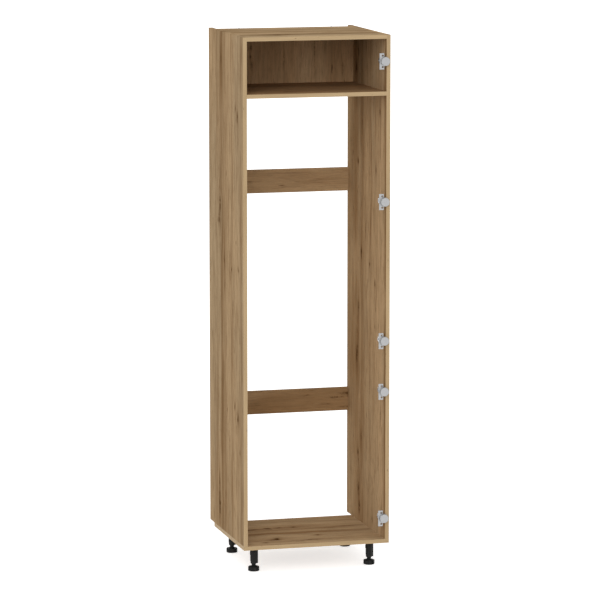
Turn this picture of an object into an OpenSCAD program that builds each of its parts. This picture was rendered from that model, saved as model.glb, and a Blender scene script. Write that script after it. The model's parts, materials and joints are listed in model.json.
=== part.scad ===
// Fridge housing: a tall open carcass on adjustable legs, with the door hinges on its right side.
// Origin under the middle of the object, on the floor. The front faces -Y.

/* [Carcass] */
// Outer width
width = 600; // [500:5:900]
// Depth of the two sides
side_depth = 565; // [545:1:620]
// Depth of the bottom, the top and the shelf
panel_depth = 495; // [470:1:520]
// Thickness of every board
board = 16; // [16:0.5:19]
// Thickness of the strips glued to the visible edges
strip = 0.8; // [0.5:0.1:1.2]
// Clear height of the fridge niche
niche_height = 1784; // [1700:2:1900]
// Clear height of the cupboard above the niche
cupboard_height = 208; // [180:2:400]
// Height of the rear rails
rail_height = 96; // [80:1:140]
// Height of the upper rail's lower edge above the niche's floor
upper_rail_rise = 1346; // [1200:1:1500]
// Height of the lower rail's lower edge above the niche's floor
lower_rail_rise = 432; // [300:1:600]

/* [Joints of the boards] */
// Diameter of the wooden dowels
dowel_d = 8; // [6:0.5:8]
// Length of the wooden dowels
dowel_length = 30; // [26:1:34]
// How far a dowel stands in the board that it meets face on
dowel_in_face = 10; // [8:0.5:11]
// Distance of a dowel from the front or rear edge of a deep board
dowel_inset = 96; // [90:1:130]
// Distance of a dowel from the upper or lower edge of a rail
rail_dowel_inset = 20; // [14:1:26]
// Diameter of the cam housings
cam_d = 15; // [12:0.5:16]
// Depth of the holes for the cam housings
cam_depth = 12.5; // [12:0.1:13]
// Distance of a cam housing from the end of its board
cam_reach = 34; // [30:1:38]
// Distance of a cam housing from the front or rear edge of its board
cam_inset = 64; // [50:1:75]
// Diameter of the shank of a cam bolt
bolt_d = 6; // [5:0.1:7]
// Length of a confirmat screw
confirmat_length = 50; // [45:1:60]
// Diameter of the thread of a confirmat screw
confirmat_d = 7; // [6:0.1:7]
// Distance of the outer confirmat screws from the front or rear edge of the bottom
confirmat_inset = 50; // [40:1:70]
// Distance of the back panel's screws from the middle
back_screw_x = 193; // [150:1:210]
// Length of the back panel's screws under the head
back_screw_length = 40; // [35:1:50]
// Diameter of the back panel's screws
back_screw_d = 4; // [3:0.1:5]

/* [Hinges] */
// Number of hinges of the upper door
upper_hinges = 3; // [2:1:4]
// Height of the line between the doors above the underside of the bottom
door_split = 717; // [600:1:900]
// Distance of the outer hinges from the ends of the lower door
lower_hinge_inset = 100; // [80:1:120]
// Distance of the outer hinges from the ends of the upper door
upper_hinge_inset = 103; // [80:1:120]
// Gap around a door's edges
door_reveal = 1.5; // [1:0.25:2]
// Gap between the carcass and a closed door
door_gap = 1.5; // [1.4:0.1:2]
// Diameter of a hinge cup
cup_d = 35; // [35:0.1:36]
// Depth of a hinge cup behind its flange
cup_depth = 11.5; // [11.5:0.1:13]
// Distance of a cup's middle from the inner face of the side, towards the niche
cup_offset = 7; // [6.5:0.1:7.5]
// Height of the flange
flange_height = 64; // [58:1:70]
// Distance between the two screw holes of the flange
flange_pitch = 45; // [42:0.5:48]
// Distance of the flange's screw holes from the cup's middle
flange_hole_offset = 9.5; // [9:0.1:10]
// Diameter of the flange's screw holes
flange_hole_d = 5.4; // [4:0.1:5.5]
// Height of a hinge arm
arm_height = 19; // [19:0.1:21]
// Length of a hinge arm behind the carcass front
arm_length = 62; // [58:1:70]
// Distance of a mounting plate's screws from the carcass front
plate_line = 37; // [34:1:40]
// Distance between the two screws of a mounting plate
plate_pitch = 32; // [30:1:36]

/* [Legs] */
// Height of a leg from the floor to the bottom panel
leg_height = 100; // [95:1:110]
// Distance of a leg's axis from the outer face of the side
leg_inset_x = 60; // [40:1:80]
// Distance of the front legs' axis from the carcass front
leg_inset_front = 80; // [60:1:110]
// Distance of the rear legs' axis from the rear edge of the bottom panel
leg_inset_rear = 55; // [35:1:80]
// Diameter of a foot
foot_d = 45; // [40:1:55]
// Height of a foot's disc
foot_height = 20; // [14:0.5:22]
// Diameter of a foot's screw over its thread
stem_d = 18; // [16:0.5:19]
// Number of grip notches round a foot
foot_notches = 8; // [6:1:12]

/* [Hidden] */
$fn = 48;
// Clearance round a dowel, screw or fitting in its hole
fit_gap = 0.05;
// Space left at the blind end of a hole
end_gap = 1;
// Overlap of a cutting body past the face that it cuts
cut = 1;

inner_x = width / 2 - board;
side_mid_x = width / 2 - board / 2;
cup_front = door_gap + cup_depth;
front_y = (cup_front - side_depth) / 2;
rear_y = front_y + side_depth;
panel_rear_y = front_y + panel_depth;
back_y = panel_rear_y - board;
floor_z = leg_height + board;
shelf_z = floor_z + niche_height;
shelf_top_z = shelf_z + board;
top_under_z = shelf_top_z + cupboard_height;
height = top_under_z + board;

// Middle lines of the boards that end against the sides
deep_board_z = [height - board / 2, shelf_z + board / 2];
deep_board_y = [front_y, panel_rear_y];
rail_z = [floor_z + upper_rail_rise, floor_z + lower_rail_rise];
rail_mid_y = rear_y - board / 2;
back_mid_y = back_y + board / 2;
back_dowel_inset = 50;
back_dowel_x = 140;
bottom_dowel_y = [front_y + dowel_inset, panel_rear_y - dowel_inset];
confirmat_y = [front_y + confirmat_inset, (front_y + panel_rear_y) / 2, panel_rear_y - confirmat_inset];

// Dowels along X, each as [y, z]
dowel_ends = concat(
    [for (z = deep_board_z) for (e = [0, 1]) [deep_board_y[e] + (1 - 2 * e) * dowel_inset, z]],
    [for (z = rail_z) for (e = [rail_dowel_inset, rail_height - rail_dowel_inset]) [rail_mid_y, z + e]],
    [for (e = [back_dowel_inset, cupboard_height - back_dowel_inset]) [back_mid_y, shelf_top_z + e]]
);
// Cam bolts of the deep boards and of the rails, each as [y, z]
deep_bolts = [for (z = deep_board_z) for (e = [0, 1]) [deep_board_y[e] + (1 - 2 * e) * cam_inset, z]];
rail_bolts = [for (z = rail_z) [rail_mid_y, z + rail_height / 2]];

// Hinge heights, from the bottom up
lower_door_z = [leg_height + door_reveal, leg_height + door_split - door_reveal / 2];
upper_door_z = [leg_height + door_split + door_reveal / 2, height - door_reveal];
hinge_z = concat(
    [lower_door_z[0] + lower_hinge_inset, lower_door_z[1] - lower_hinge_inset],
    [for (i = [0:upper_hinges - 1])
        let (a = upper_door_z[0] + upper_hinge_inset, b = upper_door_z[1] - upper_hinge_inset)
        a + i * (b - a) / (upper_hinges - 1)]
);

// Sizes of the fittings
bolt_in_side = 10.5;
bolt_thread_d = 5;
bolt_head_d = 6.6;
bolt_head_length = 3;
bolt_neck_d = 4;
cam_gap = 0.2;
cam_height = cam_depth - 0.5;
confirmat_head_d = 10;
confirmat_head = 4.5;
back_head_d = 8;
back_head = 2.4;
plate_screw_d = 6.2;
plate_screw_length = 12;

// Sizes of the hinges
sheet = 1.2;
running_gap = 0.05;
flange = 1;
lip = 0.6;
relief = 1;
relief_depth = 0.3;
flange_in = 22.5;
flange_out = 3.5;
// Pivots in the arm, from the inner face of the side and the carcass front
arm_long_pivot = [-14.2, 13.6];
arm_short_pivot = [-8.6, 4.2];
// Pivots in the closed cup, from the middle of the flange's front face
cup_middle = [-cup_offset, -door_gap];
cup_long_pivot = cup_middle + [11.8, -2];
cup_short_pivot = cup_middle + [11.45, -4.7];
// Elbows of the closed links
long_elbow = cup_middle + [-2.3, -4];
short_elbow = cup_middle + [-1.9, -8];
arm_pin_d = 2.5;
cup_pin_d = 2;
// Play of the inner link on its cup pin
open_gap = 0.8;
long_width = 2.7;
long_eye_d = 5.6;
cup_eye_d = 3;
elbow_swell = 0.3;
short_width = 2.7;
short_eye_d = 5.4;
open_eye_d = cup_pin_d + 2 * open_gap + 1.5;
link_web = 1.2;
// Depth of the notch in the cup's rim that the opened links swing through
rim_notch = 3;
// Heights above and below the middle of a hinge
cheek_gap = 0.4;
cheek = 1.5;
pin_wall_z = arm_height / 2 - sheet;
cheek_z = pin_wall_z - cheek_gap - cheek;
short_height = 2 * (cheek_z - 1);
// The arm and its plate
arm_reach = 17;
arm_bend_y = 42;
arm_fall = 2;
wall_eye_d = 6.6;
wing = 2;
rail_reach = 9;
rail_front = 20;
rail_half = 6;
adjuster_d = 5;
arm_slot = 4.4;
front_screw_y = 28;
rear_screw_y = 52;

// Sizes of the legs
leg_x = width / 2 - leg_inset_x;
leg_y = [front_y + leg_inset_front, panel_rear_y - leg_inset_rear];
leg_plate_d = 44;
leg_plate = 3.5;
leg_peg_d = 10;
leg_peg_length = 11;
socket_d = 36;
socket_height = 12.5;
sleeve_d = 25;
sleeve_end = foot_height + 10;
sleeve_neck = 3;
thread_depth = 1;
thread_pitch = 3;
// Points of one turn of the thread, each as a share of its depth and of its pitch
thread_profile = [[0, 0.15], [1, 0.4], [1, 0.6], [0, 0.85]];
stem_gap = 0.3;
bore_roof = 8;
foot_lift = 8;
stem_end_gap = 2;
bore_top = leg_height - bore_roof;
stem_top = bore_top - foot_lift - stem_end_gap;
rib_width = 4;
rib_reach = 15;
clip_rib_reach = 17.5;

oak = [0.62, 0.52, 0.40];
oak_edge = [0.74, 0.63, 0.46];
beech = [0.80, 0.66, 0.47];
zinc = [0.72, 0.72, 0.72];
steel = [0.66, 0.67, 0.69];
black_plastic = [0.12, 0.12, 0.12];

// Placing and drilling

module span(x, y, z) {
    translate([x[0], y[0], z[0]]) cube([x[1] - x[0], y[1] - y[0], z[1] - z[0]]);
}

// Puts children at the inner face of side s (-1 left, 1 right), with their +Z pointing outwards into the side
module at_side(s, y, z) {
    translate([s * inner_x, y, z]) rotate([0, s * 90, 0]) children();
}

module dowel_body(grow = 0) {
    translate([0, 0, dowel_in_face - dowel_length - grow * end_gap])
        cylinder(d = dowel_d + grow * 2 * fit_gap, h = dowel_length + 2 * grow * end_gap);
}

module dowel() {
    bevel = 1;
    translate([0, 0, dowel_in_face - dowel_length]) {
        cylinder(d1 = dowel_d - 2 * bevel, d2 = dowel_d, h = bevel);
        translate([0, 0, bevel]) cylinder(d = dowel_d, h = dowel_length - 2 * bevel);
        translate([0, 0, dowel_length - bevel]) cylinder(d1 = dowel_d, d2 = dowel_d - 2 * bevel, h = bevel);
    }
}

// A cross recess in a screw's head, whose face lies at z = 0 and whose shank points up
module cross_recess(width, depth) {
    slot = 1.2;
    for (a = [0, 90]) rotate(a) translate([-width / 2, -slot / 2, -cut]) cube([width, slot, depth + cut]);
}

module cam_bolt() {
    translate([0, 0, -cam_reach]) {
        cylinder(d = bolt_head_d, h = bolt_head_length);
        cylinder(d = bolt_neck_d, h = cam_d / 2);
        translate([0, 0, cam_d / 2]) cylinder(d = bolt_d, h = cam_reach - cam_d / 2);
    }
    cylinder(d = bolt_thread_d, h = bolt_in_side);
}

module cam_bolt_hole() {
    translate([0, 0, -cam_reach]) cylinder(d = bolt_d + 2 * cam_gap, h = cam_reach);
    translate([0, 0, -cut]) cylinder(d = bolt_thread_d + 2 * fit_gap, h = bolt_in_side + end_gap + cut);
}

// A cam housing with its face at z = 0 and its body above it, slotted towards +X for the bolt
module cam_housing(axis_depth) {
    difference() {
        cylinder(d = cam_d - 2 * cam_gap, h = cam_height);
        translate([-bolt_head_length - cam_gap, 0, axis_depth]) rotate([0, 90, 0])
            cylinder(d = bolt_head_d + 2 * cam_gap, h = cam_d);
        cross_recess(8, 2);
    }
}

module confirmat_body(grow = 0) {
    root_d = confirmat_d - 1.6;
    shank = board - 1;
    cylinder(d1 = confirmat_head_d + 2 * grow, d2 = confirmat_d + 2 * grow, h = confirmat_head);
    cylinder(d = confirmat_d + 2 * grow, h = shank);
    cylinder(d = root_d + 2 * grow, h = confirmat_length + (grow > 0 ? end_gap : 0));
}

module back_screw_body(grow = 0) {
    translate([0, 0, -back_screw_length - (grow > 0 ? end_gap : 0)])
        cylinder(d = back_screw_d + 2 * grow, h = back_screw_length + (grow > 0 ? end_gap + cut : 0));
}

module all_dowel_holes() {
    for (s = [-1, 1]) for (p = dowel_ends) at_side(s, p[0], p[1]) dowel_body(1);
    for (s = [-1, 1]) for (y = bottom_dowel_y) translate([s * side_mid_x, y, floor_z]) mirror([0, 0, 1]) dowel_body(1);
    for (s = [-1, 1]) translate([s * back_dowel_x, back_mid_y, shelf_top_z]) mirror([0, 0, 1]) dowel_body(1);
}

module cam_bores() {
    for (s = [-1, 1]) {
        for (p = concat(deep_bolts, rail_bolts)) at_side(s, p[0], p[1]) cam_bolt_hole();
        for (p = deep_bolts) translate([s * (inner_x - cam_reach), p[0], p[1] - board / 2 - cut])
            cylinder(d = cam_d, h = cam_depth + cut);
        for (p = rail_bolts) translate([s * (inner_x - cam_reach), rear_y + cut, p[1]]) rotate([90, 0, 0])
            cylinder(d = cam_d, h = cam_depth + cut);
    }
}

// Carcass boards

module side_board(s) {
    x0 = s < 0 ? -width / 2 : inner_x;
    difference() {
        span([x0, x0 + board], [front_y + strip, rear_y], [floor_z, height]);
        all_dowel_holes();
        cam_bores();
        for (y = confirmat_y) translate([s * side_mid_x, y, leg_height]) confirmat_body(fit_gap);
        if (s > 0) for (z = hinge_z) plate_screw_holes(z);
    }
}

module left_side() {
    color(oak) side_board(-1);
}

module right_side() {
    color(oak) side_board(1);
}

module deep_board(z) {
    difference() {
        span([-inner_x, inner_x], [front_y + strip, panel_rear_y], [z, z + board]);
        all_dowel_holes();
        cam_bores();
        for (s = [-1, 1]) translate([s * back_screw_x, back_mid_y, height]) back_screw_body(fit_gap);
    }
}

module top_panel() {
    color(oak) deep_board(top_under_z);
}

module fixed_shelf() {
    color(oak) deep_board(shelf_z);
}

module bottom_panel() {
    color(oak) difference() {
        span([-width / 2 + strip, width / 2 - strip], [front_y + strip, panel_rear_y], [leg_height, floor_z]);
        all_dowel_holes();
        for (s = [-1, 1]) {
            for (y = confirmat_y) translate([s * side_mid_x, y, leg_height]) confirmat_body(fit_gap);
            for (y = leg_y) translate([s * leg_x, y, leg_height - cut])
                cylinder(d = leg_peg_d + 2 * fit_gap, h = leg_peg_length + end_gap + cut);
        }
    }
}

module back_panel() {
    color(oak) difference() {
        span([-inner_x, inner_x], [back_y, panel_rear_y], [shelf_top_z, top_under_z]);
        all_dowel_holes();
        for (s = [-1, 1]) translate([s * back_screw_x, back_mid_y, height]) back_screw_body(fit_gap);
    }
}

module rail(z) {
    color(oak) difference() {
        span([-inner_x, inner_x], [rear_y - board, rear_y], [z, z + rail_height]);
        all_dowel_holes();
        cam_bores();
    }
}

// Edge strips

module side_edging(s) {
    x0 = s < 0 ? -width / 2 : inner_x;
    color(oak_edge) span([x0, x0 + board], [front_y, front_y + strip], [floor_z, height]);
}

module deep_board_edging(z) {
    color(oak_edge) span([-inner_x, inner_x], [front_y, front_y + strip], [z, z + board]);
}

module bottom_edging() {
    color(oak_edge) {
        span([-width / 2, width / 2], [front_y, front_y + strip], [leg_height, floor_z]);
        for (x0 = [-width / 2, width / 2 - strip])
            span([x0, x0 + strip], [front_y + strip + fit_gap, panel_rear_y], [leg_height, floor_z]);
    }
}

// Fittings of the boards

module dowels() {
    color(beech) {
        for (s = [-1, 1]) for (p = dowel_ends) at_side(s, p[0], p[1]) dowel();
        for (s = [-1, 1]) for (y = bottom_dowel_y) translate([s * side_mid_x, y, floor_z]) mirror([0, 0, 1]) dowel();
        for (s = [-1, 1]) translate([s * back_dowel_x, back_mid_y, shelf_top_z]) mirror([0, 0, 1]) dowel();
    }
}

module cam_housings() {
    color(zinc) for (s = [-1, 1]) {
        for (p = deep_bolts) translate([s * (inner_x - cam_reach), p[0], p[1] - board / 2])
            rotate(s < 0 ? 180 : 0) cam_housing(board / 2);
        for (p = rail_bolts) translate([s * (inner_x - cam_reach), rear_y, p[1]]) rotate([90, 0, 0])
            rotate(s < 0 ? 180 : 0) cam_housing(board / 2);
    }
}

module cam_bolts() {
    color(steel) for (s = [-1, 1]) for (p = concat(deep_bolts, rail_bolts)) at_side(s, p[0], p[1]) cam_bolt();
}

module confirmat_screws() {
    socket_d = 4.6;
    color(steel) for (s = [-1, 1]) for (y = confirmat_y) translate([s * side_mid_x, y, leg_height]) difference() {
        confirmat_body();
        translate([0, 0, -cut]) cylinder(d = socket_d, h = confirmat_head + cut, $fn = 6);
    }
}

module back_screws() {
    color(steel) for (s = [-1, 1]) translate([s * back_screw_x, back_mid_y, height]) difference() {
        union() {
            back_screw_body();
            cylinder(d1 = back_head_d, d2 = back_head_d - 3, h = back_head);
        }
        translate([0, 0, back_head]) mirror([0, 0, 1]) cross_recess(4, 1.6);
    }
}

// Adjustable legs

// The axis of leg i: front left, front right, rear left, rear right
module at_leg(i) {
    translate([(i % 2 == 0 ? -1 : 1) * leg_x, leg_y[i < 2 ? 0 : 1], 0]) children();
}

// One moulding: a peg driven into the bottom panel, a round plate and a socket under it, and a ribbed sleeve
module leg(i) {
    socket_z = leg_height - leg_plate - socket_height;
    neck_z = socket_z - sleeve_neck;
    color(black_plastic) at_leg(i) difference() {
        union() {
            translate([0, 0, leg_height]) cylinder(d = leg_peg_d, h = leg_peg_length);
            translate([0, 0, leg_height - leg_plate]) cylinder(d = leg_plate_d, h = leg_plate);
            translate([0, 0, socket_z]) cylinder(d = socket_d, h = socket_height);
            translate([0, 0, neck_z]) cylinder(d1 = sleeve_d, d2 = socket_d, h = sleeve_neck);
            translate([0, 0, sleeve_end]) cylinder(d = sleeve_d, h = neck_z - sleeve_end);
            straight_rib(clip_rib_reach, socket_z);
            for (a = [90, 270]) rotate(a) straight_rib(rib_reach, neck_z);
            rotate(180) cranked_rib(neck_z);
        }
        translate([0, 0, sleeve_end - cut]) cylinder(d = stem_d + 2 * stem_gap, h = bore_top - sleeve_end + cut);
    }
}

module straight_rib(reach, top) {
    translate([0, -rib_width / 2, sleeve_end]) cube([reach, rib_width, top - sleeve_end]);
}

// The rib that carries the plinth clip: it bulges below the neck and tapers towards the foot
module cranked_rib(top) {
    bulge = 1.5;
    inner = sleeve_d / 2 + 1;
    rotate([90, 0, 0]) linear_extrude(rib_width * 1.5, center = true) polygon([
        [0, top], [inner, top], [inner + bulge, top - 4], [inner + bulge, top - 16],
        [inner, top - 18], [inner, sleeve_end + 12], [sleeve_d / 2 - 1, sleeve_end], [0, sleeve_end]
    ]);
}

// The foot's screw, with rings of the thread's profile in place of the helix
module threaded_stem() {
    root = stem_d / 2 - thread_depth;
    last_ring = floor((stem_top - foot_height) / thread_pitch) - 1;
    rotate_extrude() polygon(concat(
        [[0, 0], [root, 0]],
        [for (k = [0:last_ring]) for (p = thread_profile)
            [root + p[0] * thread_depth, foot_height + (k + p[1]) * thread_pitch]],
        [[root, stem_top], [0, stem_top]]
    ));
}

// The disc that stands on the floor, with its grip notches, and the screw that turns in the leg
module foot(i) {
    hub_d = stem_d + 6;
    rim = 2;
    notch_width = 4.5;
    notch_depth = 3.5;
    color(black_plastic) at_leg(i) difference() {
        union() {
            cylinder(d1 = foot_d - 2 * rim, d2 = foot_d, h = rim);
            translate([0, 0, rim]) cylinder(d = foot_d, h = foot_height - 3 * rim);
            translate([0, 0, foot_height - 2 * rim]) cylinder(d1 = foot_d, d2 = foot_d - 2 * rim, h = rim);
            cylinder(d = hub_d, h = foot_height);
            threaded_stem();
        }
        for (n = [0:foot_notches - 1]) rotate((n + 0.5) * 360 / foot_notches)
            translate([foot_d / 2 - notch_depth, -notch_width / 2, rim])
                cube([notch_depth + cut, notch_width, foot_height]);
    }
}

// Hinges. Each frame lies on the side's inner face at the carcass front, in the middle of the hinge's height:
// +X goes into the side, -X into the niche, +Y to the rear.

module at_hinge(i) {
    translate([inner_x, front_y, hinge_z[i]]) children();
}

// The outline of a bent link: straights of width w from p over the elbow to q, with the elbow's outer corner rounded
module bent_bar(p, elbow, q, w) {
    for (ends = [[p, elbow], [elbow, q]]) {
        d = ends[1] - ends[0];
        translate(ends[0]) rotate(atan2(d[1], d[0])) translate([0, -w / 2]) square([norm(d), w]);
    }
    translate(elbow) circle(d = w + elbow_swell);
}

// A plate of thickness t between the heights z and z + t, and its mirror image below the middle
module pair_of_plates(z, t) {
    for (m = [0, 1]) mirror([0, 0, m]) translate([0, 0, z]) linear_extrude(t) children();
}

// A pin at p, standing equally far above and below the middle
module pin(p, d, length) {
    translate([p[0], p[1], -length / 2]) cylinder(d = d, h = length);
}

module plate_screw(grow = 0) {
    head_d = 9;
    head = 1.8;
    rotate([0, 90, 0]) {
        translate([0, 0, -wing]) cylinder(d = plate_screw_d + 2 * grow,
            h = wing + plate_screw_length + (grow > 0 ? end_gap : 0));
        translate([0, 0, -wing]) cylinder(d1 = head_d + 2 * grow, d2 = plate_screw_d + 2 * grow, h = head);
    }
}

module plate_screw_holes(z) {
    for (s = [-1, 1]) translate([inner_x, front_y + plate_line, z + s * plate_pitch / 2]) plate_screw(fit_gap);
}

module plate_screws() {
    color(steel) for (i = [0:len(hinge_z) - 1]) at_hinge(i)
        for (s = [-1, 1]) translate([0, plate_line, s * plate_pitch / 2]) difference() {
            plate_screw();
            translate([-wing, 0, 0]) rotate([0, 90, 0]) cross_recess(5, 2);
        }
}

// The cross: two wings screwed to the side and the rail that the arm is clipped on
module mounting_plate(i) {
    wing_width = 15;
    color(zinc) at_hinge(i) difference() {
        union() {
            for (s = [-1, 1]) translate([-wing, plate_line, s * plate_pitch / 2]) rotate([0, 90, 0])
                cylinder(d = wing_width, h = wing);
            span([-wing, 0], [plate_line - wing_width / 2, plate_line + wing_width / 2],
                [-plate_pitch / 2, plate_pitch / 2]);
            span([-rail_reach, 0], [rail_front, arm_length - 3], [-rail_half, rail_half]);
        }
        for (s = [-1, 1]) translate([0, plate_line, s * plate_pitch / 2]) plate_screw(fit_gap);
        translate([-rail_reach - cut, rear_screw_y, 0]) rotate([0, 90, 0])
            cylinder(d = adjuster_d + 2 * fit_gap, h = rail_reach);
    }
}

// Outline of the arm's walls, seen along the pivots
module arm_wall_outline() {
    nose = arm_short_pivot;
    polygon([
        arm_long_pivot + [-wall_eye_d / 2, 0], [-arm_reach, arm_long_pivot[1] + wall_eye_d],
        [-arm_reach, arm_bend_y], [-arm_reach + arm_fall, arm_length], [-wing - 0.6, arm_length],
        [-wing - 0.6, arm_long_pivot[1]], nose + [wall_eye_d / 2, 0], nose + [-wall_eye_d / 2, 0]
    ]);
    translate(arm_long_pivot) circle(d = wall_eye_d);
    translate(nose) circle(d = wall_eye_d);
}

// The steel channel: two walls that carry the linkage, and the web towards the niche
module hinge_arm(i) {
    web_y = arm_long_pivot[1] + wall_eye_d;
    color(steel) at_hinge(i) difference() {
        union() {
            pair_of_plates(arm_height / 2 - sheet, sheet) arm_wall_outline();
            translate([0, 0, -arm_height / 2]) linear_extrude(arm_height) polygon([
                [-arm_reach, web_y], [-arm_reach, arm_bend_y], [-arm_reach + arm_fall, arm_length],
                [-arm_reach + arm_fall + sheet, arm_length], [-arm_reach + sheet, arm_bend_y],
                [-arm_reach + sheet, web_y]
            ]);
        }
        pin(arm_long_pivot, arm_pin_d + 2 * fit_gap, arm_height + 2);
        pin(arm_short_pivot, arm_pin_d + 2 * fit_gap, arm_height + 2);
        for (y = [front_screw_y, rear_screw_y]) translate([-arm_reach - cut, y, 0]) rotate([0, 90, 0])
            cylinder(d = adjuster_d + 2 * fit_gap, h = rail_reach);
        span([-arm_reach - cut, -rail_reach - cut], [rear_screw_y, arm_length + cut],
            [-arm_slot / 2, arm_slot / 2]);
    }
}

module arm_rivets() {
    head = 0.8;
    head_d = 4.6;
    color(steel) for (i = [0:len(hinge_z) - 1]) at_hinge(i) for (p = [arm_long_pivot, arm_short_pivot]) {
        pin(p, arm_pin_d, arm_height + 2 * head);
        for (s = [-1, 1]) translate([p[0], p[1], s * (arm_height + head) / 2])
            cylinder(d = head_d, h = head, center = true);
    }
}

// The side adjusting screw in front, which bears on the rail, and the fixing screw behind it
module adjusting_screws() {
    head = 1.6;
    head_d = 8;
    color(steel) for (i = [0:len(hinge_z) - 1]) at_hinge(i)
        for (a = [[front_screw_y, rail_reach + 0.2], [rear_screw_y, rail_reach - 4]]) {
            top = arm_reach - arm_fall * max(0, a[0] - arm_bend_y) / (arm_length - arm_bend_y) + 0.5;
            translate([-top, a[0], 0]) rotate([0, 90, 0]) difference() {
                union() {
                    translate([0, 0, -head]) cylinder(d = head_d, h = head);
                    cylinder(d = adjuster_d, h = top - a[1]);
                }
                translate([0, 0, -head]) cross_recess(4.5, 2);
            }
        }
}

// A leaf under the arm's web that presses on the long link's hub
module closing_springs() {
    leaf = 0.6;
    leaf_width = 9;
    start_y = arm_long_pivot[1] + long_eye_d / 2 + 0.3;
    x = -arm_reach + sheet;
    color(steel) for (i = [0:len(hinge_z) - 1]) at_hinge(i) difference() {
        translate([0, 0, -leaf_width / 2]) linear_extrude(leaf_width) polygon([
            [x, arm_bend_y - 2], [x, start_y + 5], [x + 3, start_y], [x + 3 + leaf, start_y],
            [x + leaf, start_y + 5.5], [x + leaf, arm_bend_y - 2]
        ]);
        translate([x - cut, front_screw_y, 0]) rotate([0, 90, 0]) cylinder(d = adjuster_d + 1, h = 4);
    }
}

// The outer, U-shaped link: a hub on the arm's rivet, a web and two cheeks that reach round into the cup
module outer_link(i) {
    reach = 0.6 * (long_elbow - arm_long_pivot);
    web_step = 0.15;
    color(steel) at_hinge(i) difference() {
        union() {
            pair_of_plates(cheek_z, cheek) {
                bent_bar(arm_long_pivot, long_elbow, cup_long_pivot, long_width);
                translate(arm_long_pivot) circle(d = long_eye_d);
                translate(cup_long_pivot) circle(d = cup_eye_d);
            }
            translate([0, 0, -cheek_z]) linear_extrude(2 * cheek_z) {
                translate(arm_long_pivot) circle(d = long_eye_d);
                translate(arm_long_pivot) rotate(atan2(reach[1], reach[0]))
                    translate([0, web_step - long_width / 2]) square([norm(reach), link_web]);
            }
        }
        pin(arm_long_pivot, arm_pin_d + 2 * running_gap, arm_height);
        pin(cup_long_pivot, cup_pin_d + 2 * running_gap, arm_height);
    }
}

// The inner link, one pressed bar between the cheeks of the outer one
module inner_link(i) {
    color(steel) at_hinge(i) difference() {
        translate([0, 0, -short_height / 2]) linear_extrude(short_height) {
            bent_bar(arm_short_pivot, short_elbow, cup_short_pivot, short_width);
            translate(arm_short_pivot) circle(d = short_eye_d);
            translate(cup_short_pivot) circle(d = open_eye_d);
        }
        pin(arm_short_pivot, arm_pin_d + 2 * running_gap, arm_height);
        pin(cup_short_pivot, cup_pin_d + 2 * open_gap, arm_height);
    }
}

// The cup: a drawn steel bowl with a flat floor, a flange with two screw holes, and two walls for the pins
module hinge_cup(i) {
    bevel = 0.8;
    bowl_d = cup_d - 2 * sheet;
    color(zinc) at_hinge(i) difference() {
        union() {
            difference() {
                union() {
                    translate([-cup_offset, -cup_front, 0]) rotate([-90, 0, 0]) {
                        cylinder(d1 = cup_d - 2 * bevel, d2 = cup_d, h = bevel);
                        translate([0, 0, bevel]) cylinder(d = cup_d, h = cup_depth - bevel - relief);
                        translate([0, 0, bevel]) cylinder(d = cup_d - 2 * relief_depth, h = cup_depth - bevel);
                        translate([0, 0, cup_depth]) cylinder(d = cup_d + 2 * lip, h = flange);
                    }
                    span([-cup_offset - flange_in, -cup_offset - flange_out], [-door_gap, -door_gap + flange],
                        [-flange_height / 2, flange_height / 2]);
                }
                translate([-cup_offset, -cup_front + sheet, 0]) rotate([-90, 0, 0])
                    cylinder(d = bowl_d, h = cup_depth + 2);
            }
            intersection() {
                translate([-cup_offset, -cup_front + sheet / 2, 0]) rotate([-90, 0, 0])
                    cylinder(d = bowl_d + sheet / 2, h = cup_depth - sheet / 2);
                pair_of_plates(pin_wall_z, sheet) translate([-cup_offset - cup_d / 2, -cup_front])
                    square([cup_d, cup_depth]);
            }
        }
        pin(cup_long_pivot, cup_pin_d + 2 * fit_gap, 2 * (pin_wall_z + sheet) + 1);
        pin(cup_short_pivot, cup_pin_d + 2 * fit_gap, 2 * (pin_wall_z + sheet) + 1);
        translate([0, -door_gap + flange - rim_notch, -pin_wall_z]) cube([cup_d, rim_notch + cut, 2 * pin_wall_z]);
        for (s = [-1, 1]) translate([-cup_offset - flange_hole_offset, -door_gap - cut, s * flange_pitch / 2])
            rotate([-90, 0, 0]) cylinder(d = flange_hole_d, h = flange + 2 * cut);
    }
}

// Two short pins for the cheeks of the outer link, and one across the cup for the inner link
module cup_pins(i) {
    color(steel) at_hinge(i) {
        pin(cup_short_pivot, cup_pin_d, 2 * (pin_wall_z + sheet));
        for (m = [0, 1]) mirror([0, 0, m]) translate([cup_long_pivot[0], cup_long_pivot[1], cheek_z])
            cylinder(d = cup_pin_d, h = pin_wall_z + sheet - cheek_z);
    }
}

left_side();
right_side();
top_panel();
bottom_panel();
fixed_shelf();
back_panel();
rail(rail_z[0]);  // upper_rail
rail(rail_z[1]);  // lower_rail
side_edging(-1);  // left_side_edging
side_edging(1);  // right_side_edging
deep_board_edging(top_under_z);  // top_edging
deep_board_edging(shelf_z);  // shelf_edging
bottom_edging();
dowels();
cam_housings();
cam_bolts();
confirmat_screws();
back_screws();
plate_screws();
arm_rivets();
adjusting_screws();
closing_springs();
for (i = [1:len(hinge_z)]) {
    mounting_plate(i - 1);
    hinge_arm(i - 1);
    outer_link(i - 1);
    inner_link(i - 1);
    hinge_cup(i - 1);
    cup_pins(i - 1);
}
for (i = [1:4]) {
    leg(i - 1);
    foot(i - 1);
}
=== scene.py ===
import json
import math

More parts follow.
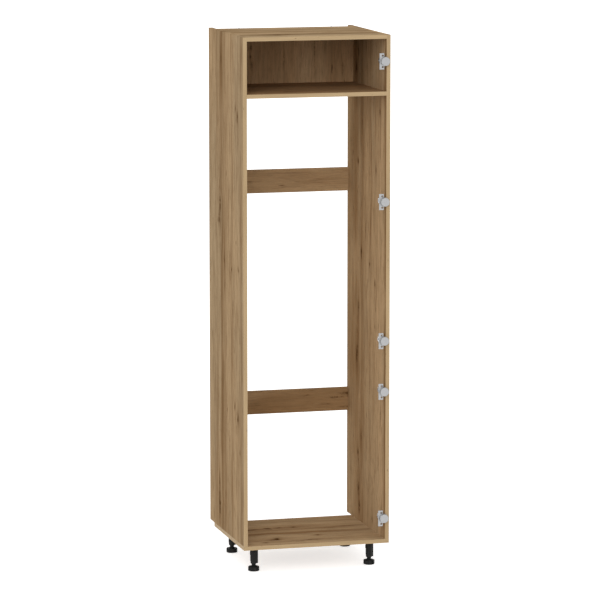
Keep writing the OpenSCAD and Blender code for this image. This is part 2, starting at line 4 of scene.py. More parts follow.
import bpy
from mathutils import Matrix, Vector

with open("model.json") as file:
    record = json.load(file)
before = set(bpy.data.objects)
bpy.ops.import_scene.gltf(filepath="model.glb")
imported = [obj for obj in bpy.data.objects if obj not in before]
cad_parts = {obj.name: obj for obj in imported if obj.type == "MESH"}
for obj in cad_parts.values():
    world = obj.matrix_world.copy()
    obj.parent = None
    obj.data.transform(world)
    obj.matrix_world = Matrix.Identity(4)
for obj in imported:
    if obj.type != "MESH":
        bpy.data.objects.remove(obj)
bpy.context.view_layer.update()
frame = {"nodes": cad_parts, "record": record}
nodes = frame["nodes"]

# Studio: the photographer's view from the front left and a little above, one broad soft lamp beside the
# camera, an even white room, and a pale floor that runs out of sight and keeps the object's shadow.

SEEN_FROM = (-3.795, -14.138, 3.202)
TURNED_RIGHT = 0.26255
TILTED_DOWN = 0.14549
SENSOR_WIDTH = 36.0
LENS = 220.36
FARTHEST_SEEN = 300.0

camera_data = bpy.data.cameras.new("photographer")
camera_data.sensor_width = SENSOR_WIDTH
camera_data.lens = LENS
camera_data.clip_end = FARTHEST_SEEN
camera = bpy.data.objects.new("photographer", camera_data)
camera.location = SEEN_FROM
looking = Vector((
    math.sin(TURNED_RIGHT) * math.cos(TILTED_DOWN),
    math.cos(TURNED_RIGHT) * math.cos(TILTED_DOWN),
    -math.sin(TILTED_DOWN),
))
camera.rotation_mode = "QUATERNION"
camera.rotation_quaternion = looking.to_track_quat("-Z", "Y")
bpy.context.scene.collection.objects.link(camera)
bpy.context.scene.camera = camera
bpy.context.scene.view_settings.view_transform = "Standard"

LAMP_STRENGTH = 1.1
LAMP_ANGLE = math.radians(40)
LAMP_SHINES = (0.42, 0.84, -0.36)
lamp_data = bpy.data.lights.new("softbox", "SUN")
lamp_data.energy = LAMP_STRENGTH
lamp_data.angle = LAMP_ANGLE
lamp = bpy.data.objects.new("softbox", lamp_data)
lamp.rotation_mode = "QUATERNION"
lamp.rotation_quaternion = Vector(LAMP_SHINES).to_track_quat("-Z", "Y")
bpy.context.scene.collection.objects.link(lamp)

WHITE = (1.0, 1.0, 1.0, 1.0)
ROOM_LIGHT = 0.75


def seen_by_camera(tree):
    """1 for what the camera sees, straight, mirrored or through glass, and 0 for what only lights the scene:
    the greatest of the three kinds of ray."""
    ray = tree.nodes.new("ShaderNodeLightPath")
    seen = ray.outputs["Is Camera Ray"]
    for kind in ("Is Glossy Ray", "Is Transmission Ray"):
        greater = tree.nodes.new("ShaderNodeMath")
        greater.operation = "MAXIMUM"
        tree.links.new(seen, greater.inputs[0])
        tree.links.new(ray.outputs[kind], greater.inputs[1])
        seen = greater.outputs[0]
    return seen


room = bpy.data.worlds.new("white_room")
room.use_nodes = True
bpy.context.scene.world = room
room_tree = room.node_tree
room_glow = room_tree.nodes["Background"]
room_glow.inputs["Color"].default_value = WHITE
room_level = room_tree.nodes.new("ShaderNodeMapRange")
room_level.inputs["To Min"].default_value = ROOM_LIGHT
room_level.inputs["To Max"].default_value = 1.0
room_tree.links.new(seen_by_camera(room_tree), room_level.inputs["Value"])
room_tree.links.new(room_level.outputs["Result"], room_glow.inputs["Strength"])

# The floor lies a hair below the feet, so that no two faces share a plane.
FLOOR_REACH = 120.0
FLOOR_DROP = 0.0004
FLOOR_WHITE = 0.9
FLOOR_ROUGHNESS = 0.9
FLOOR_GLOW = 0.62
floor_mesh = bpy.data.meshes.new("studio_floor")
floor_mesh.from_pydata(
    [(x * FLOOR_REACH, y * FLOOR_REACH, -FLOOR_DROP) for x, y in ((-1, -1), (1, -1), (1, 1), (-1, 1))],
    [], [(0, 1, 2, 3)],
)
studio_floor = bpy.data.objects.new("studio_floor", floor_mesh)
bpy.context.scene.collection.objects.link(studio_floor)
floor_paint = bpy.data.materials.new("pale_floor")
floor_paint.use_nodes = True
floor_tree = floor_paint.node_tree
floor_surface = floor_tree.nodes["Principled BSDF"]
floor_surface.inputs["Base Color"].default_value = (FLOOR_WHITE, FLOOR_WHITE, FLOOR_WHITE, 1.0)
floor_surface.inputs["Roughness"].default_value = FLOOR_ROUGHNESS
floor_surface.inputs["Specular IOR Level"].default_value = 0.0
floor_surface.inputs["Emission Color"].default_value = WHITE
floor_glow = floor_tree.nodes.new("ShaderNodeMath")
floor_glow.operation = "MULTIPLY"
floor_glow.inputs[1].default_value = FLOOR_GLOW
floor_tree.links.new(seen_by_camera(floor_tree), floor_glow.inputs[0])
floor_tree.links.new(floor_glow.outputs[0], floor_surface.inputs["Emission Strength"])
floor_mesh.materials.append(floor_paint)


# Carcass boards: 16 mm chipboard faced on both sides with a melamine foil that is printed as a rustic oak.
# The print runs along each board's length: upright on the sides and the back, crosswise on the others. Its
# bands and knots lie where the photographed faces show them.

# The levels that noise mostly lies between.
NOISE_REACH = (0.3, 0.7)


class Finish:
    """A material being made on the piece's own coordinates. Most methods add a node and give its result."""

    def __init__(self, name):
        self.material = bpy.data.materials.new(name)
        self.material.use_nodes = True
        self.tree = self.material.node_tree
        self.surface = self.tree.nodes["Principled BSDF"]
        self.place = self.tree.nodes.new("ShaderNodeTexCoord").outputs["Object"]

    def add(self, kind, **settings):
        """A new shader node of that kind, with its settings made."""
        made = self.tree.nodes.new("ShaderNode" + kind)
        for name, value in settings.items():
            setattr(made, name, value)
        return made

    def feed(self, socket, value):
        """Links an output to the socket, or sets a plain value on it."""
        if isinstance(value, bpy.types.NodeSocket):
            self.tree.links.new(value, socket)
        else:
            socket.default_value = value

    def math(self, operation, *values, clamp=False):
        """One operation on up to three values, such as first x second + third for MULTIPLY_ADD."""
        made = self.add("Math", operation=operation, use_clamp=clamp)
        for socket, value in zip(made.inputs, values):
            self.feed(socket, value)
        return made.outputs[0]

    def fall(self, value, rate=1.0):
        """exp(-rate x value): 1 at zero, and dying away above it."""
        return self.math("EXPONENT", self.math("MULTIPLY", value, -rate))

    def axes(self):
        """The piece's own X, Y and Z, by name."""
        parts = self.add("SeparateXYZ")
        self.feed(parts.inputs[0], self.place)
        return dict(zip("XYZ", parts.outputs))

    def point(self, x, y, z):
        """The point, or the colour, with these three parts."""
        made = self.add("CombineXYZ")
        for socket, value in zip(made.inputs, (x, y, z)):
            self.feed(socket, value)
        return made.outputs[0]

    def noise(self, point, octaves=2.0, weight=0.5, scale=1.0, levels=None, shares=(0.0, 1.0)):
        """Noise at a point, each finer octave with that weight. Where levels are given, they spread it."""
        made = self.add("TexNoise")
        self.feed(made.inputs["Vector"], point)
        self.feed(made.inputs["Scale"], scale)
        self.feed(made.inputs["Detail"], octaves)
        self.feed(made.inputs["Roughness"], weight)
        return self.spread(made.outputs["Fac"], levels, shares) if levels else made.outputs["Fac"]

    def spread(self, value, levels, shares=(0.0, 1.0)):
        """The first share below the lower level, the second above the upper, 3t^2 - 2t^3 between them."""
        made = self.add("MapRange", interpolation_type="SMOOTHSTEP")
        for socket, given in zip(made.inputs, (value, *levels, *shares)):
            self.feed(socket, given)
        return made.outputs[0]

    def mix(self, share, first, second, way="MIX"):
        """The first colour with that share of the second laid over it, or multiplied into it."""
        made = self.add("Mix", data_type="RGBA", blend_type=way)
        self.feed(made.inputs[0], share)
        for socket, colour in ((made.inputs[6], first), (made.inputs[7], second)):
            self.feed(socket, colour if isinstance(colour, bpy.types.NodeSocket) else (*colour, 1.0))
        return made.outputs[2]

    def tint(self, first, second):
        """The two colours multiplied."""
        return self.mix(1.0, first, second, "MULTIPLY")

    def colour(self, value):
        """Paints the surface."""
        self.feed(self.surface.inputs["Base Color"], value)

    def roughen(self, noise, smoothest, roughest):
        """Makes the roughness follow the noise between two values."""
        self.feed(self.surface.inputs["Roughness"], self.spread(noise, NOISE_REACH, (smoothest, roughest)))

    def relief(self, height, strength, depth):
        """Shades the surface as if it rose by the height x the depth, in metres, with that strength."""
        made = self.add("Bump")
        self.feed(made.inputs["Strength"], strength)
        self.feed(made.inputs["Distance"], depth)
        self.feed(made.inputs["Height"], height)
        self.tree.links.new(made.outputs[0], self.surface.inputs["Normal"])

    def set(self, **values):
        """Sets constants of the surface, such as Metallic."""
        for name, value in values.items():
            self.feed(self.surface.inputs[name.replace("_", " ")], value)


def dress(node, material):
    """Gives a piece one material in place of what it has."""
    nodes[node].data.materials.clear()
    nodes[node].data.materials.append(material)


def third_axis(first, second):
    """The axis that is neither of the two."""
    return ({"X", "Y", "Z"} - {first, second}).pop()


KNOT_BROWN = (0.095, 0.046, 0.016)
RING_SHARE = 0.55
RING_RATE = 0.7
RING_STRETCH = 0.12
HALO_RATE = 0.06
HALO_PUSH = 0.55


def knotted(foil, u, v, knots):
    """What knots do to a print with u across and v along. With r2 the squared distance in half sizes, a core
    is darkness x exp(-r2). A ring is RING_SHARE x darkness x exp(-RING_RATE x q2), with q2 as r2 but only
    RING_STRETCH of it along. The grain moves by HALO_PUSH x the distance across x exp(-HALO_RATE x r2).
    Gives the cores, the rings and the moved u."""
    cores = 0.0
    rings = 0.0
    moved = u
    for at_u, at_v, half_width, half_length, darkness in knots:
        du = foil.math("MULTIPLY_ADD", u, 1 / half_width, -at_u / half_width)
        dv = foil.math("MULTIPLY_ADD", v, 1 / half_length, -at_v / half_length)
        du2 = foil.math("MULTIPLY", du, du)
        dv2 = foil.math("MULTIPLY", dv, dv)
        r2 = foil.math("ADD", du2, dv2)
        q2 = foil.math("MULTIPLY_ADD", dv2, RING_STRETCH, du2)
        cores = foil.math("MULTIPLY_ADD", foil.fall(r2), darkness, cores)
        rings = foil.math("MULTIPLY_ADD", foil.fall(q2, RING_RATE), darkness * RING_SHARE, rings)
        aside = foil.math("MULTIPLY", du, foil.fall(r2, HALO_RATE))
        moved = foil.math("MULTIPLY_ADD", aside, -HALO_PUSH * half_width, moved)
    return cores, rings, moved


CHIP_LIGHT = (0.620, 0.465, 0.290)
CHIP_DARK = (0.300, 0.190, 0.100)
CHIPS_ALONG = 300.0
CHIPS_THROUGH = 900.0


def raw_chipboard(foil, axis, through):
    """The colour and the height of bare chipboard: cells, so many to a metre along and through the board,
    pale in the middle and dark between. The height is the distance from a cell's middle."""
    chips = foil.add("TexVoronoi")
    counts = (CHIPS_THROUGH if name == through else CHIPS_ALONG for name in "XYZ")
    place = foil.point(*(foil.math("MULTIPLY", axis[name], count) for name, count in zip("XYZ", counts)))
    foil.feed(chips.inputs["Vector"], place)
    foil.feed(chips.inputs["Scale"], 1.0)
    height = chips.outputs["Distance"]
    return foil.mix(foil.spread(height, levels=(0.1, 0.9)), CHIP_LIGHT, CHIP_DARK), height


OAK_LIGHT = (0.425, 0.301, 0.176)
OAK_BROWN = (0.220, 0.134, 0.065)
OAK_STREAK = (0.165, 0.092, 0.040)
OAK_RUDDY = (1.015, 0.985, 0.955)
OAK_OLIVE = (0.985, 1.00, 1.015)

# The grain's slow and quick sways: how many to a metre across and along, and how many metres wide.
SWAYS = ((3.0, 1.1, 0.044), (24.0, 7.0, 0.022))

# The print's layers of noise, from the ground up: how many patches to a metre, which part of the noise, and
# the levels at which each begins and is full.
CLOUDS = dict(per_across=12.0, per_along=1.3, part=0.0, levels=(0.38, 0.70))
CLOUD_SHARE = 0.30
SWINGS = dict(per_across=2.0, per_along=2.0, part=31.0, levels=(0.34, 0.66), shares=(0.50, 1.20))
SMUDGES = dict(per_across=32.0, per_along=8.0, part=23.0, octaves=4.0, weight=0.7, levels=(0.54, 0.72))
SMUDGE_SHARE = 0.58
STREAKS = dict(per_across=40.0, per_along=3.6, part=3.0, octaves=3.0, weight=0.62, levels=(0.47, 0.72))
STREAK_SHARE = 0.40
VEINS = dict(per_across=120.0, per_along=5.0, part=17.0, weight=0.55, levels=(0.56, 0.70))
VEIN_SHARE = 0.45
PORES = dict(per_across=640.0, per_along=42.0, part=71.0, weight=0.6, levels=(0.57, 0.68))
PORE_SHARE = 0.34
FIBRES = dict(per_across=700.0, per_along=30.0, part=9.0, weight=0.6)
FIBRE_CONTRAST = 0.30
LINES = dict(per_across=210.0, per_along=10.0, part=5.0, octaves=3.0, weight=0.65)
LINE_CONTRAST = 0.70
LEAST_LIGHT = 0.52
DRIFT = dict(per_across=6.0, per_along=0.9, part=51.0, levels=(0.36, 0.64))
CRACKS = dict(per_across=96.0, per_along=15.0, part=13.0, levels=(0.66, 0.76))
CRACKED_PLACES = dict(per_across=9.0, per_along=2.4, part=61.0, levels=(0.44, 0.60))
CRACK_SHARE = 0.75
RAGS = dict(
    per_across=260.0, per_along=55.0, part=41.0, weight=0.7, levels=(0.36, 0.60), shares=(0.45, 1.60),
)
THROUGH_BOARD = 2.0
BETWEEN_BOARDS = 7.3
FIBRE_RISE = 0.6
KNOT_SINK = 0.8
FOIL_EDGE = 0.0003


def print_oak(
    node, along, across, start, bands, knots,
    shade=(1.0, 1.0, 1.0), figure=1.0, bare_rear=False,
):
    """Prints one board. A band is (across, half width, depth), and a knot is (across, along, half width,
    half length, darkness). Light oak is browned by clouds, by the knots' rings and by each band's depth x
    swings x exp(-d2), with d the distance in half widths. Smudges, streaks, veins and pores lie over it.
    Fibres and lines then vary its light and a drift its hue, and cracks and knots darken it. Start is the
    board's place in the noise, figure scales smudges, streaks and veins, and shade multiplies the colour:
    painted light and shade, which lightens or darkens each board to the light that falls on it."""
    foil = Finish(f"oak_{node}")
    axis = foil.axes()
    through = third_axis(along, across)
    u, v = axis[across], axis[along]
    cores, rings, bent = knotted(foil, u, v, knots)
    for per_across, per_along, width in SWAYS:
        place = foil.point(foil.math("MULTIPLY", u, per_across), foil.math("MULTIPLY", v, per_along), start)
        sway = foil.math("MULTIPLY_ADD", foil.noise(place), width, -width / 2)
        bent = foil.math("ADD", sway, bent)

    def layer(per_across, per_along, part, **settings):
        """One layer of noise, along the bent grain."""
        place = foil.point(
            foil.math("MULTIPLY_ADD", bent, per_across, start * BETWEEN_BOARDS + part),
            foil.math("MULTIPLY_ADD", v, per_along, start),
            foil.math("MULTIPLY_ADD", axis[through], THROUGH_BOARD, part),
        )
        return foil.noise(place, **settings)

    brown = foil.math("MULTIPLY_ADD", layer(**CLOUDS), CLOUD_SHARE, rings)
    swings = layer(**SWINGS)
    for at, half_width, depth in bands:
        away = foil.math("MULTIPLY_ADD", bent, 1 / half_width, -at / half_width)
        swell = foil.math("MULTIPLY", foil.fall(foil.math("MULTIPLY", away, away)), swings)
        brown = foil.math("MULTIPLY_ADD", swell, depth, brown)
    tone = foil.mix(brown, OAK_LIGHT, OAK_BROWN)
    for marks, share, colour in (
        (SMUDGES, SMUDGE_SHARE * figure, OAK_BROWN),
        (STREAKS, STREAK_SHARE * figure, OAK_STREAK),
        (VEINS, VEIN_SHARE * figure, OAK_STREAK),
        (PORES, PORE_SHARE, OAK_STREAK),
    ):
        tone = foil.mix(foil.math("MULTIPLY", layer(**marks), share), tone, colour)

    fibres = layer(**FIBRES)
    lines = layer(**LINES)
    light = foil.math("MULTIPLY_ADD", fibres, FIBRE_CONTRAST, LEAST_LIGHT)
    light = foil.math("MULTIPLY_ADD", lines, LINE_CONTRAST, light)
    hue = foil.mix(layer(**DRIFT), OAK_RUDDY, OAK_OLIVE)
    tone = foil.tint(tone, foil.tint(foil.point(light, light, light), hue))
    # Painted light and shade: the whole board's colour is lightened or darkened to the light on it.
    tone = foil.tint(tone, shade)

    cracks = foil.math("MULTIPLY", layer(**CRACKS), layer(**CRACKED_PLACES))
    ragged = foil.math("MULTIPLY", cores, layer(**RAGS))
    spots = foil.math("ADD", foil.math("MULTIPLY", cracks, CRACK_SHARE), ragged, clamp=True)
    tone = foil.mix(spots, tone, KNOT_BROWN)
    height = foil.math("MULTIPLY_ADD", fibres, FIBRE_RISE, foil.math("MULTIPLY", spots, -KNOT_SINK))
    if bare_rear:
        rear = max(corner[1] for corner in nodes[node].bound_box)
        bare = foil.math("GREATER_THAN", axis["Y"], rear - FOIL_EDGE)
        chips, chip_height = raw_chipboard(foil, axis, through)
        tone = foil.mix(bare, tone, chips)
        height = foil.mix(bare, height, chip_height)
    foil.colour(tone)
    foil.roughen(lines, smoothest=0.55, roughest=0.68)
    foil.set(Specular_IOR_Level=0.0)
    foil.relief(height, strength=0.25, depth=0.0003)
    dress(node, foil.material)


# Sides: the two uprights stand on the bottom panel and hold every board above it between them. The right one
# is painted lighter, as painted light falling in from the front of the niche, and its first band is painted
# shade that deepens towards its rear. Their rear edges, which go to the wall, are left as bare chipboard.

LEFT_BANDS = [
    (0.150, 0.020, 0.35), (0.077, 0.022, 0.85), (0.030, 0.026, 0.45), (-0.090, 0.014, 0.35),
    (-0.241, 0.015, 0.45),
]
LEFT_KNOTS = [
    (-0.183, 1.819, 0.011, 0.022, 0.72), (-0.150, 1.852, 0.007, 0.014, 0.56),
    (0.104, 1.446, 0.011, 0.036, 0.72), (0.121, 1.379, 0.014, 0.022, 0.48),
    (-0.200, 1.215, 0.007, 0.010, 0.72), (-0.083, 1.203, 0.007, 0.010, 0.56),
    (0.035, 1.228, 0.008, 0.029, 0.64), (-0.133, 0.657, 0.008, 0.014, 0.72),
    (-0.183, 0.618, 0.012, 0.023, 0.72), (0.121, 0.206, 0.015, 0.040, 0.72),
    (0.125, 0.300, 0.008, 0.043, 0.48), (-0.216, 0.485, 0.007, 0.013, 0.48),
    (0.086, 2.026, 0.011, 0.029, 0.48),
]
print_oak(
    "left_side", along="Z", across="Y", start=0.0, bands=LEFT_BANDS, knots=LEFT_KNOTS, bare_rear=True,
)

# The first band, broad and deep at the rear edge, is painted shade towards the back of the niche. The others
# are print.
RIGHT_BANDS = [
    (0.289, 0.230, 0.70), (0.150, 0.024, 0.30), (0.073, 0.030, 0.50), (-0.050, 0.018, 0.30),
    (-0.262, 0.015, 1.00),
]
RIGHT_KNOTS = [
    (0.129, 1.600, 0.010, 0.013, 0.72), (-0.130, 1.589, 0.008, 0.015, 0.43),
    (-0.184, 1.827, 0.008, 0.014, 0.50), (0.077, 1.232, 0.010, 0.025, 0.72),
    (-0.043, 1.199, 0.008, 0.010, 0.58), (0.120, 1.003, 0.011, 0.026, 0.65),
    (0.142, 0.795, 0.016, 0.038, 0.72), (0.128, 0.850, 0.008, 0.030, 0.43),
    (-0.116, 1.126, 0.009, 0.012, 0.58), (0.122, 0.398, 0.011, 0.012, 0.72),
    (0.078, 0.473, 0.008, 0.024, 0.43), (0.113, 0.249, 0.013, 0.028, 0.65),
    (0.100, 0.175, 0.012, 0.025, 0.58), (-0.204, 0.606, 0.008, 0.022, 0.43),
    (0.020, 1.330, 0.008, 0.036, 0.36), (0.128, 2.048, 0.010, 0.020, 0.50),
    (0.160, 1.972, 0.012, 0.030, 0.65), (-0.118, 0.956, 0.007, 0.014, 0.36),
]
# shade paints the whole board lighter: painted light.
print_oak(
    "right_side", along="Z", across="Y", start=5.3, bands=RIGHT_BANDS, knots=RIGHT_KNOTS,
    shade=(1.22, 1.21, 1.20), bare_rear=True,
)


# Top panel: it lies between the upper ends of the sides, on dowels and cam bolts, and ends short of their
# rear edges. Its largest knot is at the front left.

TOP_BANDS = [(-0.019, 0.030, 0.6), (0.090, 0.035, 0.5), (-0.165, 0.022, 0.5)]
TOP_KNOTS = [
    (-0.179, -0.135, 0.020, 0.018, 1.0), (-0.167, -0.177, 0.010, 0.050, 0.7),
    (-0.150, 0.030, 0.012, 0.090, 0.4), (0.110, 0.120, 0.006, 0.035, 0.5),
]
# shade paints the board a little lighter: painted light.
print_oak(
    "top_panel", along="X", across="Y", start=8.7, bands=TOP_BANDS, knots=TOP_KNOTS,
    shade=(1.06, 1.06, 1.05), bare_rear=True,
)


# Fixed shelf: the roof of the fridge niche and the floor of the cupboard above it, joined to the sides as
# the top panel is. Its colour is painted darker and warmer than the others': painted shade and warm bounce
# light inside the cupboard.

SHELF_BANDS = [(-0.10, 0.04, 0.4), (0.05, 0.03, 0.3)]
SHELF_KNOTS = [(-0.190, -0.090, 0.008, 0.020, 0.6)]
print_oak(
    "fixed_shelf", along="X", across="Y", start=12.9, bands=SHELF_BANDS, knots=SHELF_KNOTS,
    shade=(0.82, 0.71, 0.63), bare_rear=True,
)


# Bottom panel: it runs under both sides, which are screwed to it from below, and stands on the four legs.
# Its print is full of short knots.

BOTTOM_BANDS = [(-0.068, 0.022, 0.7), (0.01, 0.02, 0.3)]
BOTTOM_KNOTS = [
    (-0.166, -0.135, 0.020, 0.010, 0.9), (-0.178, -0.155, 0.009, 0.018, 0.6),
    (-0.222, -0.197, 0.009, 0.012, 0.6), (-0.128, 0.044, 0.011, 0.007, 0.7),
    (-0.208, 0.000, 0.008, 0.035, 0.5), (-0.223, -0.064, 0.007, 0.026, 0.5),
    (0.031, -0.190, 0.008, 0.028, 0.7), (0.043, -0.075, 0.009, 0.014, 0.7),
    (0.043, -0.014, 0.009, 0.012, 0.7), (0.000, 0.140, 0.005, 0.040, 0.6),
    (0.018, 0.220, 0.005, 0.040, 0.6),
]
# shade paints the board lighter: painted light.
print_oak(
    "bottom_panel", along="X", across="Y", start=17.3, bands=BOTTOM_BANDS, knots=BOTTOM_KNOTS,
    shade=(1.16, 1.15, 1.14), figure=0.80, bare_rear=True,
)


# Back panel: it closes the cupboard alone. It stands on the shelf between the sides, on dowels, and two
# screws through the top panel hold it above. Its print is calm, and its colour is painted lighter and
# warmer: painted bounce light inside the cupboard.

BACK_BANDS = [(0.200, 0.040, 0.5), (-0.080, 0.050, 0.3)]
BACK_KNOTS = [
    (-0.146, 2.062, 0.004, 0.010, 0.55), (-0.148, 2.026, 0.004, 0.008, 0.55),
    (-0.145, 1.988, 0.005, 0.012, 0.55), (0.238, 1.972, 0.004, 0.020, 0.5),
    (-0.008, 2.010, 0.003, 0.030, 0.4), (0.120, 2.050, 0.003, 0.040, 0.4),
]
print_oak(
    "back_panel", along="Z", across="X", start=21.1, bands=BACK_BANDS, knots=BACK_KNOTS,
    shade=(1.26, 1.18, 1.13), figure=0.45,
)


# Rear rails: two boards on edge across the open back of the niche, flush with the sides' rear edges, on
# dowels and cam bolts. The lower one has knots at its right end. Both are painted lighter, the lower one
# most: painted light at the back of the niche.

UPPER_RAIL_BANDS = [(1.51, 0.1, 0.25)]
UPPER_RAIL_KNOTS = [(1.51, -0.14, 0.003, 0.012, 0.5)]
print_oak(
    "upper_rail", along="X", across="Z", start=27.7, bands=UPPER_RAIL_BANDS, knots=UPPER_RAIL_KNOTS,
    shade=(1.10, 1.08, 1.06), figure=0.40,
)

LOWER_RAIL_BANDS = [(0.600, 0.100, 0.9)]
LOWER_RAIL_KNOTS = [
    (0.617, 0.282, 0.008, 0.030, 0.9), (0.604, 0.240, 0.003, 0.030, 0.9),
    (0.578, 0.190, 0.003, 0.018, 0.5), (0.563, 0.270, 0.004, 0.018, 0.6),
]
print_oak(
    "lower_rail", along="X", across="Z", start=31.2, bands=LOWER_RAIL_BANDS, knots=LOWER_RAIL_KNOTS,
    shade=(1.32, 1.31, 1.31), figure=0.45,
)


# Edge strips: 0.8 mm of the same print in a lighter, warmer batch, glued on and trimmed flush. They cover
# the front edges of the sides, the top panel and the shelf, and the front and both ends of the bottom.

STRIP_OAK = (0.455, 0.325, 0.180)
STRIP_DARK = (0.340, 0.225, 0.112)
STRIP_CLOUDS = dict(per_across=30.0, per_along=2.2, part=0.0, levels=(0.4, 0.75))
STRIP_CLOUD_SHARE = 0.45
STRIP_LINES = dict(per_across=420.0, per_along=9.0, part=4.0, octaves=3.0)
STRIP_CONTRAST = 0.5
STRIP_LEAST_LIGHT = 0.76
STRIP_FLECKS = dict(per_across=130.0, per_along=40.0, part=7.0, octaves=1.0, levels=(0.74, 0.80))
STRIP_FLECK_SHARE = 0.6


def print_strip(node, along, across, start):
    """Prints one strip: clouds between its two colours, x (STRIP_LEAST_LIGHT + STRIP_CONTRAST x fine lines),
    with rare dark flecks. Start is the strip's place in the noise."""
    strip = Finish("strip_" + node.removesuffix("_edging"))
    axis = strip.axes()
    through = third_axis(along, across)

    def layer(per_across, per_along, part, **settings):
        """One layer of noise, straight along the strip."""
        place = strip.point(
            strip.math("MULTIPLY_ADD", axis[across], per_across, start + part),
            strip.math("MULTIPLY_ADD", axis[along], per_along, start),
            strip.math("MULTIPLY", axis[through], per_across),
        )
        return strip.noise(place, **settings)

    clouds = strip.math("MULTIPLY", layer(**STRIP_CLOUDS), STRIP_CLOUD_SHARE)
    lines = layer(**STRIP_LINES)
    flecks = strip.math("MULTIPLY", layer(**STRIP_FLECKS), STRIP_FLECK_SHARE)
    light = strip.math("MULTIPLY_ADD", lines, STRIP_CONTRAST, STRIP_LEAST_LIGHT)
    tone = strip.tint(strip.mix(clouds, STRIP_OAK, STRIP_DARK), strip.point(light, light, light))
    strip.colour(strip.mix(flecks, tone, KNOT_BROWN))
    strip.roughen(lines, smoothest=0.52, roughest=0.62)
    strip.set(Specular_IOR_Level=0.2)
    strip.relief(lines, strength=0.15, depth=0.0002)
    dress(node, strip.material)


print_strip("left_side_edging", along="Z", across="X", start=0.0)
print_strip("right_side_edging", along="Z", across="X", start=2.6)
print_strip("top_edging", along="X", across="Z", start=5.2)
print_strip("shelf_edging", along="X", across="Z", start=7.7)
print_strip("bottom_edging", along="X", across="Z", start=10.4)


# Fittings of the boards: bevelled beech dowels, die-cast cam housings in bores on the boards' hidden faces,
# and turned steel bolts and screws. From above, only the two screw heads in the top panel show.

BEECH_LIGHT = (0.64, 0.44, 0.23)
BEECH_DARK = (0.50, 0.31, 0.14)
BEECH_ALONG = 60.0
BEECH_ACROSS = 900.0
beech = Finish("planed_beech")
beech_axis = beech.axes()
beech_lines = beech.noise(beech.point(
    beech.math("MULTIPLY", beech_axis["X"], BEECH_ALONG),
    beech.math("MULTIPLY", beech_axis["Y"], BEECH_ACROSS),
    beech.math("MULTIPLY", beech_axis["Z"], BEECH_ACROSS),
))
beech.colour(beech.mix(beech_lines, BEECH_LIGHT, BEECH_DARK))
beech.roughen(beech_lines, smoothest=0.55, roughest=0.70)
beech.relief(beech_lines, strength=0.3, depth=0.0002)
dress("dowels", beech.material)

SMOOTHER = 0.05
ROUGHER = 0.07


def clouded(metal, patches):
    """Cloudy noise with so many patches to a metre on each axis."""
    axis = metal.axes()
    place = metal.point(*(metal.math("MULTIPLY", axis[name], count) for name, count in zip("XYZ", patches)))
    return metal.noise(place, octaves=3.0, weight=0.6)


def plated(name, bright, dull, roughness, patches):
    """Plated metal: two close greys by cloudy noise. The roughness follows the same noise, from SMOOTHER
    below the given one to ROUGHER above it."""
    metal = Finish(name)
    cloud = clouded(metal, patches)
    metal.colour(metal.mix(metal.spread(cloud, NOISE_REACH), bright, dull))
    metal.roughen(cloud, roughness - SMOOTHER, roughness + ROUGHER)
    metal.set(Metallic=1.0)
    metal.relief(cloud, strength=0.12, depth=0.0001)
    return metal.material


die_cast = plated(
    "nickel_on_zinc", bright=(0.52, 0.52, 0.52), dull=(0.45, 0.45, 0.45),
    roughness=0.36, patches=(700.0, 700.0, 700.0),
)
turned = plated(
    "zinc_on_steel", bright=(0.56, 0.57, 0.59), dull=(0.46, 0.46, 0.47),
    roughness=0.30, patches=(900.0, 900.0, 900.0),
)
dress("cam_housings", die_cast)
for screws in ("cam_bolts", "confirmat_screws", "back_screws"):
    dress(screws, turned)


# Hinges: each has an arm, two links and a flanged cup of nickel-plated pressed steel on a die-cast mounting
# plate, which is screwed to the right side. A steel leaf in the arm pulls the hinge shut. They hold no door.

pressed = plated(
    "nickel_on_steel", bright=(0.48, 0.49, 0.50), dull=(0.42, 0.43, 0.44),
    roughness=0.34, patches=(260.0, 260.0, 900.0),
)
spring_steel = plated(
    "spring_steel", bright=(0.34, 0.34, 0.35), dull=(0.26, 0.26, 0.27),
    roughness=0.32, patches=(300.0, 900.0, 300.0),
)
CUP_BRIGHT = (0.400, 0.402, 0.405)
CUP_DULL = (0.368, 0.370, 0.374)
CUP_GRAIN = 0.2
PAINTED_SINK_SHADE = (0.060, 0.056, 0.052)
SINK_RADIUS = 0.0042
SINK_BLUR = 0.85
MILLIMETRE = 0.001
mounts = {mount["name"]: mount for mount in frame["record"]["mounts"]}


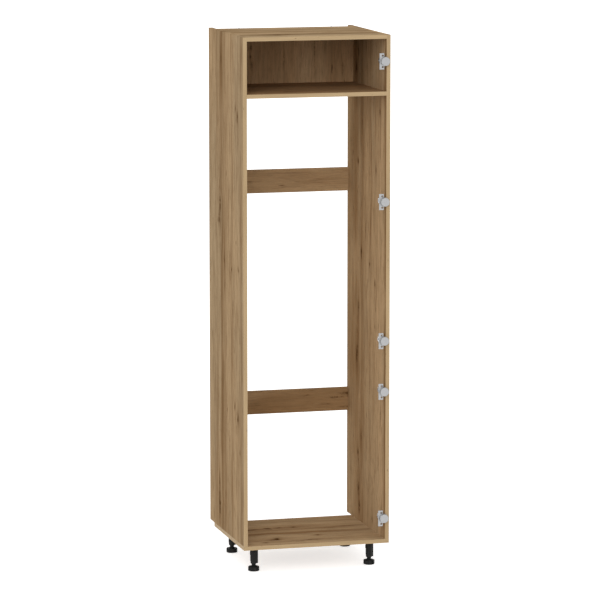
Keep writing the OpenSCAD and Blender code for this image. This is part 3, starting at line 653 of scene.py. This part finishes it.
def flanged_cup(hinge):
    """The cup's nickel, with painted shade within SINK_RADIUS of the axis of either screw hole, where the
    flange is dimpled. The same mask presses the dimple into the relief. The distance is the root of the
    squared distances aside and above the hole. The painted shade is full up to SINK_BLUR of the radius."""
    metal = Finish(f"nickel_on_cup_{hinge}")
    axis = metal.axes()
    cloud = clouded(metal, (400.0, 400.0, 400.0))
    screws = mounts[f"hinge_cup_{hinge}_screws"]
    hole_x, _, middle_z = screws["pos_m"]
    half_pitch = screws["dims"]["spacing_y_mm"] / 2 * MILLIMETRE
    aside = metal.math("SUBTRACT", axis["X"], hole_x)
    rise = metal.math("ABSOLUTE", metal.math("SUBTRACT", axis["Z"], middle_z))
    above = metal.math("SUBTRACT", rise, half_pitch)
    away2 = metal.math("MULTIPLY_ADD", aside, aside, metal.math("MULTIPLY", above, above))
    away = metal.math("SQRT", away2)
    dimple_and_painted_shade = metal.spread(away, levels=(SINK_RADIUS * SINK_BLUR, SINK_RADIUS), shares=(1.0, 0.0))
    nickel = metal.mix(metal.spread(cloud, NOISE_REACH), CUP_BRIGHT, CUP_DULL)
    # Painted shade in the screw holes' dimples.
    metal.colour(metal.mix(dimple_and_painted_shade, nickel, PAINTED_SINK_SHADE))
    metal.roughen(cloud, smoothest=0.37, roughest=0.49)
    metal.set(Metallic=1.0)
    height = metal.math("SUBTRACT", metal.math("MULTIPLY", cloud, CUP_GRAIN), dimple_and_painted_shade)
    metal.relief(height, strength=0.3, depth=0.0003)
    return metal.material


for screws in ("plate_screws", "arm_rivets", "adjusting_screws"):
    dress(screws, turned)
dress("closing_springs", spring_steel)
hinges = sum(name.startswith("hinge_cup_") for name in nodes)
for hinge in range(1, hinges + 1):
    dress(f"mounting_plate_{hinge}", die_cast)
    dress(f"hinge_cup_{hinge}", flanged_cup(hinge))
    dress(f"cup_pins_{hinge}", turned)
    for piece in ("hinge_arm", "outer_link", "inner_link"):
        dress(f"{piece}_{hinge}", pressed)


# Legs: black polypropylene mouldings. Each has a ribbed sleeve whose peg is driven into the bottom panel,
# and a foot whose screw turns in the sleeve to level the unit.

BLACK = (0.0060, 0.0060, 0.0056)
BLACK_FADED = (0.0105, 0.0105, 0.0098)
black = Finish("black_polypropylene")
flow = black.noise(black.place, scale=60.0, levels=NOISE_REACH)
mould_grain = black.noise(black.place, octaves=3.0, weight=0.6, scale=900.0)
black.colour(black.mix(flow, BLACK, BLACK_FADED))
black.roughen(mould_grain, smoothest=0.48, roughest=0.62)
black.set(Specular_IOR_Level=0.2)
black.relief(mould_grain, strength=0.2, depth=0.0002)
legs = sum(name.startswith("leg_") for name in nodes)
for leg in range(1, legs + 1):
    dress(f"leg_{leg}", black.material)
    dress(f"foot_{leg}", black.material)
